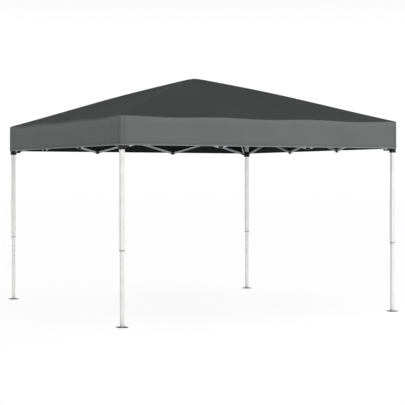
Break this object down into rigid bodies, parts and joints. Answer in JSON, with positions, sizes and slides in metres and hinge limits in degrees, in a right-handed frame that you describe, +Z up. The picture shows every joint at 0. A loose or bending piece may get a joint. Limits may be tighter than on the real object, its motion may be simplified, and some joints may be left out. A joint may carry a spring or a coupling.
{
  "type": "pop-up canopy tent",
  "caption": "Pop-up canopy tent on telescopic legs, with scissor trusses, folding hip rafters, a centre hub and a fabric roof with a straight valance.",
  "frame": {"origin": "on the ground under the middle of the tent", "axes": "+X along the front side, +Y from the front to the back, +Z up"},
  "size_m": [3.025, 3.025, 2.362],
  "materials": {
    "white_powder_coated_steel": "white powder coat, satin",
    "grey_painted_steel": "grey paint, satin",
    "black_nylon": "black moulded nylon, matt",
    "charcoal_polyester": "charcoal woven polyester, coated underneath"
  },
  "bodies": {
    "leg_front_left": {"outer_leg_front_left": "white_powder_coated_steel", "top_bracket_front_left": "black_nylon"},
    "inner_leg_front_left": {"inner_leg_front_left": "white_powder_coated_steel"},
    "slider_front_left": {"slider_front_left": "black_nylon"},
    "lock_button_front_left": {"lock_button_front_left": "black_nylon"},
    "leg_front_right": {"outer_leg_front_right": "white_powder_coated_steel", "top_bracket_front_right": "black_nylon"},
    "inner_leg_front_right": {"inner_leg_front_right": "white_powder_coated_steel"},
    "slider_front_right": {"slider_front_right": "black_nylon"},
    "lock_button_front_right": {"lock_button_front_right": "black_nylon"},
    "leg_back_right": {"outer_leg_back_right": "white_powder_coated_steel", "top_bracket_back_right": "black_nylon"},
    "inner_leg_back_right": {"inner_leg_back_right": "white_powder_coated_steel"},
    "slider_back_right": {"slider_back_right": "black_nylon"},
    "lock_button_back_right": {"lock_button_back_right": "black_nylon"},
    "leg_back_left": {"outer_leg_back_left": "white_powder_coated_steel", "top_bracket_back_left": "black_nylon"},
    "inner_leg_back_left": {"inner_leg_back_left": "white_powder_coated_steel"},
    "slider_back_left": {"slider_back_left": "black_nylon"},
    "lock_button_back_left": {"lock_button_back_left": "black_nylon"},
    "front_truss_falling_bar_1": {"front_truss_falling_bar_1": "grey_painted_steel"},
    "front_truss_falling_bar_2": {"front_truss_falling_bar_2": "grey_painted_steel"},
    "front_truss_falling_bar_3": {"front_truss_falling_bar_3": "grey_painted_steel"},
    "front_truss_rising_bar_1": {"front_truss_rising_bar_1": "grey_painted_steel"},
    "front_truss_rising_bar_2": {"front_truss_rising_bar_2": "grey_painted_steel"},
    "front_truss_rising_bar_3": {"front_truss_rising_bar_3": "grey_painted_steel"},
    "right_truss_falling_bar_1": {"right_truss_falling_bar_1": "grey_painted_steel"},
    "right_truss_falling_bar_2": {"right_truss_falling_bar_2": "grey_painted_steel"},
    "right_truss_falling_bar_3": {"right_truss_falling_bar_3": "grey_painted_steel"},
    "right_truss_rising_bar_1": {"right_truss_rising_bar_1": "grey_painted_steel"},
    "right_truss_rising_bar_2": {"right_truss_rising_bar_2": "grey_painted_steel"},
    "right_truss_rising_bar_3": {"right_truss_rising_bar_3": "grey_painted_steel"},
    "left_truss_falling_bar_1": {"left_truss_falling_bar_1": "grey_painted_steel"},
    "left_truss_falling_bar_2": {"left_truss_falling_bar_2": "grey_painted_steel"},
    "left_truss_falling_bar_3": {"left_truss_falling_bar_3": "grey_painted_steel"},
    "left_truss_rising_bar_1": {"left_truss_rising_bar_1": "grey_painted_steel"},
    "left_truss_rising_bar_2": {"left_truss_rising_bar_2": "grey_painted_steel"},
    "left_truss_rising_bar_3": {"left_truss_rising_bar_3": "grey_painted_steel"},
    "back_truss_falling_bar_1": {"back_truss_falling_bar_1": "grey_painted_steel"},
    "back_truss_falling_bar_2": {"back_truss_falling_bar_2": "grey_painted_steel"},
    "back_truss_falling_bar_3": {"back_truss_falling_bar_3": "grey_painted_steel"},
    "back_truss_rising_bar_1": {"back_truss_rising_bar_1": "grey_painted_steel"},
    "back_truss_rising_bar_2": {"back_truss_rising_bar_2": "grey_painted_steel"},
    "back_truss_rising_bar_3": {"back_truss_rising_bar_3": "grey_painted_steel"},
    "outer_rafter_front_left": {"outer_rafter_front_left": "grey_painted_steel"},
    "inner_rafter_front_left": {"inner_rafter_front_left": "grey_painted_steel"},
    "rafter_strut_front_left": {"rafter_strut_front_left": "grey_painted_steel"},
    "hub": {"centre_hub": "black_nylon", "canopy": "charcoal_polyester"},
    "outer_rafter_front_right": {"outer_rafter_front_right": "grey_painted_steel"},
    "inner_rafter_front_right": {"inner_rafter_front_right": "grey_painted_steel"},
    "rafter_strut_front_right": {"rafter_strut_front_right": "grey_painted_steel"},
    "outer_rafter_back_right": {"outer_rafter_back_right": "grey_painted_steel"},
    "inner_rafter_back_right": {"inner_rafter_back_right": "grey_painted_steel"},
    "rafter_strut_back_right": {"rafter_strut_back_right": "grey_painted_steel"},
    "outer_rafter_back_left": {"outer_rafter_back_left": "grey_painted_steel"},
    "inner_rafter_back_left": {"inner_rafter_back_left": "grey_painted_steel"},
    "rafter_strut_back_left": {"rafter_strut_back_left": "grey_painted_steel"}
  },
  "joints": [
    {"name": "canopy_fold", "type": "hinge", "parent": "leg_front_left", "child": "front_truss_falling_bar_1", "pos_m": [-1.4215, -1.4665, 1.858], "axis": [0, 1, 0], "range_deg": [0, 71.33], "deforming": ["canopy"]},
    {"name": "front_crossing_1", "type": "hinge", "parent": "front_truss_falling_bar_1", "child": "front_truss_rising_bar_1", "pos_m": [-0.94767, -1.4665, 1.734], "axis": [0, 1, 0], "range_deg": [-143.17, 0.5]},
    {"name": "front_top_node_1", "type": "hinge", "parent": "front_truss_rising_bar_1", "child": "front_truss_falling_bar_2", "pos_m": [-0.47383, -1.4665, 1.858], "axis": [0, 1, 0], "range_deg": [-0.5, 143.17]},
    {"name": "front_crossing_2", "type": "hinge", "parent": "front_truss_falling_bar_2", "child": "front_truss_rising_bar_2", "pos_m": [0, -1.4665, 1.734], "axis": [0, 1, 0], "range_deg": [-143.17, 0.5]},
    {"name": "front_bottom_node_2", "type": "hinge", "parent": "front_truss_falling_bar_2", "child": "front_truss_rising_bar_3", "pos_m": [0.47383, -1.4665, 1.61], "axis": [0, 1, 0], "range_deg": [-143.17, 0.5]},
    {"name": "front_crossing_3", "type": "hinge", "parent": "front_truss_rising_bar_3", "child": "front_truss_falling_bar_3", "pos_m": [0.94767, -1.4665, 1.734], "axis": [0, 1, 0], "range_deg": [-0.5, 143.17]},
    {"name": "front_bar_3_top", "type": "hinge", "parent": "front_truss_rising_bar_3", "child": "leg_front_right", "pos_m": [1.4215, -1.4665, 1.858], "axis": [0, 1, 0], "range_deg": [-0.5, 71.83]},
    {"name": "slider_front_left_pin", "type": "hinge", "parent": "front_truss_rising_bar_1", "child": "slider_front_left", "pos_m": [-1.4215, -1.4665, 1.61], "axis": [0, 1, 0], "range_deg": [-0.5, 71.83]},
    {"name": "slider_front_right_pin", "type": "hinge", "parent": "front_truss_falling_bar_3", "child": "slider_front_right", "pos_m": [1.4215, -1.4665, 1.61], "axis": [0, 1, 0], "range_deg": [-71.83, 0.5]},
    {"name": "right_bar_1_top", "type": "hinge", "parent": "leg_front_right", "child": "right_truss_falling_bar_1", "pos_m": [1.4665, -1.4215, 1.858], "axis": [-1, 0, 0], "range_deg": [-0.5, 71.83]},
    {"name": "right_crossing_1", "type": "hinge", "parent": "right_truss_falling_bar_1", "child": "right_truss_rising_bar_1", "pos_m": [1.4665, -0.94767, 1.734], "axis": [-1, 0, 0], "range_deg": [-143.17, 0.5]},
    {"name": "right_top_node_1", "type": "hinge", "parent": "right_truss_rising_bar_1", "child": "right_truss_falling_bar_2", "pos_m": [1.4665, -0.47383, 1.858], "axis": [-1, 0, 0], "range_deg": [-0.5, 143.17]},
    {"name": "right_crossing_2", "type": "hinge", "parent": "right_truss_falling_bar_2", "child": "right_truss_rising_bar_2", "pos_m": [1.4665, 0, 1.734], "axis": [-1, 0, 0], "range_deg": [-143.17, 0.5]},
    {"name": "right_bottom_node_2", "type": "hinge", "parent": "right_truss_falling_bar_2", "child": "right_truss_rising_bar_3", "pos_m": [1.4665, 0.47383, 1.61], "axis": [-1, 0, 0], "range_deg": [-143.17, 0.5]},
    {"name": "right_crossing_3", "type": "hinge", "parent": "right_truss_rising_bar_3", "child": "right_truss_falling_bar_3", "pos_m": [1.4665, 0.94767, 1.734], "axis": [-1, 0, 0], "range_deg": [-0.5, 143.17]},
    {"name": "right_bar_3_top", "type": "hinge", "parent": "right_truss_rising_bar_3", "child": "leg_back_right", "pos_m": [1.4665, 1.4215, 1.858], "axis": [-1, 0, 0], "range_deg": [-0.5, 71.83]},
    {"name": "slider_back_right_pin", "type": "hinge", "parent": "right_truss_falling_bar_3", "child": "slider_back_right", "pos_m": [1.4665, 1.4215, 1.61], "axis": [-1, 0, 0], "range_deg": [-71.83, 0.5]},
    {"name": "left_bar_1_top", "type": "hinge", "parent": "leg_front_left", "child": "left_truss_falling_bar_1", "pos_m": [-1.4665, -1.4215, 1.858], "axis": [-1, 0, 0], "range_deg": [-0.5, 71.83]},
    {"name": "left_crossing_1", "type": "hinge", "parent": "left_truss_falling_bar_1", "child": "left_truss_rising_bar_1", "pos_m": [-1.4665, -0.94767, 1.734], "axis": [-1, 0, 0], "range_deg": [-143.17, 0.5]},
    {"name": "left_top_node_1", "type": "hinge", "parent": "left_truss_rising_bar_1", "child": "left_truss_falling_bar_2", "pos_m": [-1.4665, -0.47383, 1.858], "axis": [-1, 0, 0], "range_deg": [-0.5, 143.17]},
    {"name": "left_crossing_2", "type": "hinge", "parent": "left_truss_falling_bar_2", "child": "left_truss_rising_bar_2", "pos_m": [-1.4665, 0, 1.734], "axis": [-1, 0, 0], "range_deg": [-143.17, 0.5]},
    {"name": "left_bottom_node_2", "type": "hinge", "parent": "left_truss_falling_bar_2", "child": "left_truss_rising_bar_3", "pos_m": [-1.4665, 0.47383, 1.61], "axis": [-1, 0, 0], "range_deg": [-143.17, 0.5]},
    {"name": "left_crossing_3", "type": "hinge", "parent": "left_truss_rising_bar_3", "child": "left_truss_falling_bar_3", "pos_m": [-1.4665, 0.94767, 1.734], "axis": [-1, 0, 0], "range_deg": [-0.5, 143.17]},
    {"name": "left_bar_3_top", "type": "hinge", "parent": "left_truss_rising_bar_3", "child": "leg_back_left", "pos_m": [-1.4665, 1.4215, 1.858], "axis": [-1, 0, 0], "range_deg": [-0.5, 71.83]},
    {"name": "slider_back_left_pin", "type": "hinge", "parent": "left_truss_falling_bar_3", "child": "slider_back_left", "pos_m": [-1.4665, 1.4215, 1.61], "axis": [-1, 0, 0], "range_deg": [-71.83, 0.5]},
    {"name": "back_bar_1_top", "type": "hinge", "parent": "leg_back_left", "child": "back_truss_falling_bar_1", "pos_m": [-1.4215, 1.4665, 1.858], "axis": [0, 1, 0], "range_deg": [-0.5, 71.83]},
    {"name": "back_crossing_1", "type": "hinge", "parent": "back_truss_falling_bar_1", "child": "back_truss_rising_bar_1", "pos_m": [-0.94767, 1.4665, 1.734], "axis": [0, 1, 0], "range_deg": [-143.17, 0.5]},
    {"name": "back_top_node_1", "type": "hinge", "parent": "back_truss_rising_bar_1", "child": "back_truss_falling_bar_2", "pos_m": [-0.47383, 1.4665, 1.858], "axis": [0, 1, 0], "range_deg": [-0.5, 143.17]},
    {"name": "back_crossing_2", "type": "hinge", "parent": "back_truss_falling_bar_2", "child": "back_truss_rising_bar_2", "pos_m": [0, 1.4665, 1.734], "axis": [0, 1, 0], "range_deg": [-143.17, 0.5]},
    {"name": "back_bottom_node_2", "type": "hinge", "parent": "back_truss_falling_bar_2", "child": "back_truss_rising_bar_3", "pos_m": [0.47383, 1.4665, 1.61], "axis": [0, 1, 0], "range_deg": [-143.17, 0.5]},
    {"name": "back_crossing_3", "type": "hinge", "parent": "back_truss_rising_bar_3", "child": "back_truss_falling_bar_3", "pos_m": [0.94767, 1.4665, 1.734], "axis": [0, 1, 0], "range_deg": [-0.5, 143.17]},
    {"name": "rafter_front_left_root", "type": "hinge", "parent": "leg_front_left", "child": "outer_rafter_front_left", "pos_m": [-1.42266, -1.42266, 1.88], "axis": [-0.7071, 0.7071, 0], "range_deg": [-0.5, 101.2]},
    {"name": "rafter_front_left_knee", "type": "hinge", "parent": "outer_rafter_front_left", "child": "inner_rafter_front_left", "pos_m": [-0.72851, -0.72851, 2.11749], "axis": [-0.7071, 0.7071, 0], "range_deg": [-176.95, 0.5]},
    {"name": "hub_front_left", "type": "hinge", "parent": "inner_rafter_front_left", "child": "hub", "pos_m": [-0.03182, -0.03182, 2.31569], "axis": [-0.7071, 0.7071, 0], "range_deg": [-0.5, 76.25]},
    {"name": "strut_front_left_foot", "type": "hinge", "parent": "slider_front_left", "child": "rafter_strut_front_left", "pos_m": [-1.41347, -1.41347, 1.61], "axis": [-0.7071, 0.7071, 0], "range_deg": [-47.58, 0.5]},
    {"name": "rafter_front_right_root", "type": "hinge", "parent": "leg_front_right", "child": "outer_rafter_front_right", "pos_m": [1.42266, -1.42266, 1.88], "axis": [-0.7071, -0.7071, 0], "range_deg": [-0.5, 101.2]},
    {"name": "hub_front_right", "type": "hinge", "parent": "hub", "child": "inner_rafter_front_right", "pos_m": [0.03182, -0.03182, 2.31569], "axis": [-0.7071, -0.7071, 0], "range_deg": [-76.25, 0.5]},
    {"name": "strut_front_right_foot", "type": "hinge", "parent": "slider_front_right", "child": "rafter_strut_front_right", "pos_m": [1.41347, -1.41347, 1.61], "axis": [-0.7071, -0.7071, 0], "range_deg": [-47.58, 0.5]},
    {"name": "rafter_back_right_root", "type": "hinge", "parent": "leg_back_right", "child": "outer_rafter_back_right", "pos_m": [1.42266, 1.42266, 1.88], "axis": [0.7071, -0.7071, 0], "range_deg": [-0.5, 101.2]},
    {"name": "hub_back_right", "type": "hinge", "parent": "hub", "child": "inner_rafter_back_right", "pos_m": [0.03182, 0.03182, 2.31569], "axis": [0.7071, -0.7071, 0], "range_deg": [-76.25, 0.5]},
    {"name": "strut_back_right_foot", "type": "hinge", "parent": "slider_back_right", "child": "rafter_strut_back_right", "pos_m": [1.41347, 1.41347, 1.61], "axis": [0.7071, -0.7071, 0], "range_deg": [-47.58, 0.5]},
    {"name": "rafter_back_left_root", "type": "hinge", "parent": "leg_back_left", "child": "outer_rafter_back_left", "pos_m": [-1.42266, 1.42266, 1.88], "axis": [0.7071, 0.7071, 0], "range_deg": [-0.5, 101.2]},
    {"name": "hub_back_left", "type": "hinge", "parent": "hub", "child": "inner_rafter_back_left", "pos_m": [-0.03182, 0.03182, 2.31569], "axis": [0.7071, 0.7071, 0], "range_deg": [-76.25, 0.5]},
    {"name": "strut_back_left_foot", "type": "hinge", "parent": "slider_back_left", "child": "rafter_strut_back_left", "pos_m": [-1.41347, 1.41347, 1.61], "axis": [0.7071, 0.7071, 0], "range_deg": [-47.58, 0.5]},
    {"name": "leg_height_front_left", "type": "slide", "parent": "leg_front_left", "child": "inner_leg_front_left", "axis": [0, 0, 1], "range_m": [-0.3, 0.63]},
    {"name": "leg_height_front_right", "type": "slide", "parent": "leg_front_right", "child": "inner_leg_front_right", "axis": [0, 0, 1], "range_m": [-0.3, 0.63]},
    {"name": "leg_height_back_right", "type": "slide", "parent": "leg_back_right", "child": "inner_leg_back_right", "axis": [0, 0, 1], "range_m": [-0.3, 0.63]},
    {"name": "leg_height_back_left", "type": "slide", "parent": "leg_back_left", "child": "inner_leg_back_left", "axis": [0, 0, 1], "range_m": [-0.3, 0.63]},
    {"name": "lock_button_front_left_press", "type": "slide", "parent": "slider_front_left", "child": "lock_button_front_left", "axis": [-1, 0, 0], "range_m": [0, 0.005], "stiffness_N_per_m": 600},
    {"name": "lock_button_front_right_press", "type": "slide", "parent": "slider_front_right", "child": "lock_button_front_right", "axis": [1, 0, 0], "range_m": [0, 0.005], "stiffness_N_per_m": 600},
    {"name": "lock_button_back_right_press", "type": "slide", "parent": "slider_back_right", "child": "lock_button_back_right", "axis": [1, 0, 0], "range_m": [0, 0.005], "stiffness_N_per_m": 600},
    {"name": "lock_button_back_left_press", "type": "slide", "parent": "slider_back_left", "child": "lock_button_back_left", "axis": [-1, 0, 0], "range_m": [0, 0.005], "stiffness_N_per_m": 600}
  ],
  "couplings": [
    {"joint": "front_crossing_1", "follows": "canopy_fold", "ratio": -2},
    {"joint": "front_top_node_1", "follows": "canopy_fold", "ratio": 2},
    {"joint": "front_crossing_2", "follows": "canopy_fold", "ratio": -2},
    {"joint": "front_bottom_node_2", "follows": "canopy_fold", "ratio": -2},
    {"joint": "front_crossing_3", "follows": "canopy_fold", "ratio": 2},
    {"joint": "front_bar_3_top", "follows": "canopy_fold", "ratio": 1},
    {"joint": "slider_front_left_pin", "follows": "canopy_fold", "ratio": 1},
    {"joint": "slider_front_right_pin", "follows": "canopy_fold", "ratio": -1},
    {"joint": "right_bar_1_top", "follows": "canopy_fold", "ratio": 1},
    {"joint": "right_crossing_1", "follows": "canopy_fold", "ratio": -2},
    {"joint": "right_top_node_1", "follows": "canopy_fold", "ratio": 2},
    {"joint": "right_crossing_2", "follows": "canopy_fold", "ratio": -2},
    {"joint": "right_bottom_node_2", "follows": "canopy_fold", "ratio": -2},
    {"joint": "right_crossing_3", "follows": "canopy_fold", "ratio": 2},
    {"joint": "right_bar_3_top", "follows": "canopy_fold", "ratio": 1},
    {"joint": "slider_back_right_pin", "follows": "canopy_fold", "ratio": -1},
    {"joint": "left_bar_1_top", "follows": "canopy_fold", "ratio": 1},
    {"joint": "left_crossing_1", "follows": "canopy_fold", "ratio": -2},
    {"joint": "left_top_node_1", "follows": "canopy_fold", "ratio": 2},
    {"joint": "left_crossing_2", "follows": "canopy_fold", "ratio": -2},
    {"joint": "left_bottom_node_2", "follows": "canopy_fold", "ratio": -2},
    {"joint": "left_crossing_3", "follows": "canopy_fold", "ratio": 2},
    {"joint": "left_bar_3_top", "follows": "canopy_fold", "ratio": 1},
    {"joint": "slider_back_left_pin", "follows": "canopy_fold", "ratio": -1},
    {"joint": "back_bar_1_top", "follows": "canopy_fold", "ratio": 1},
    {"joint": "back_crossing_1", "follows": "canopy_fold", "ratio": -2},
    {"joint": "back_top_node_1", "follows": "canopy_fold", "ratio": 2},
    {"joint": "back_crossing_2", "follows": "canopy_fold", "ratio": -2},
    {"joint": "back_bottom_node_2", "follows": "canopy_fold", "ratio": -2},
    {"joint": "back_crossing_3", "follows": "canopy_fold", "ratio": 2},
    {"joint": "rafter_front_left_root", "follows": "canopy_fold", "ratio": 1.4117},
    {"joint": "rafter_front_left_knee", "follows": "canopy_fold", "ratio": -2.4735},
    {"joint": "hub_front_left", "follows": "canopy_fold", "ratio": 1.0618},
    {"joint": "strut_front_left_foot", "follows": "canopy_fold", "ratio": -0.66005},
    {"joint": "rafter_front_right_root", "follows": "canopy_fold", "ratio": 1.4117},
    {"joint": "hub_front_right", "follows": "canopy_fold", "ratio": -1.0618},
    {"joint": "strut_front_right_foot", "follows": "canopy_fold", "ratio": -0.66005},
    {"joint": "rafter_back_right_root", "follows": "canopy_fold", "ratio": 1.4117},
    {"joint": "hub_back_right", "follows": "canopy_fold", "ratio": -1.0618},
    {"joint": "strut_back_right_foot", "follows": "canopy_fold", "ratio": -0.66005},
    {"joint": "rafter_back_left_root", "follows": "canopy_fold", "ratio": 1.4117},
    {"joint": "hub_back_left", "follows": "canopy_fold", "ratio": -1.0618},
    {"joint": "strut_back_left_foot", "follows": "canopy_fold", "ratio": -0.66005}
  ]
}
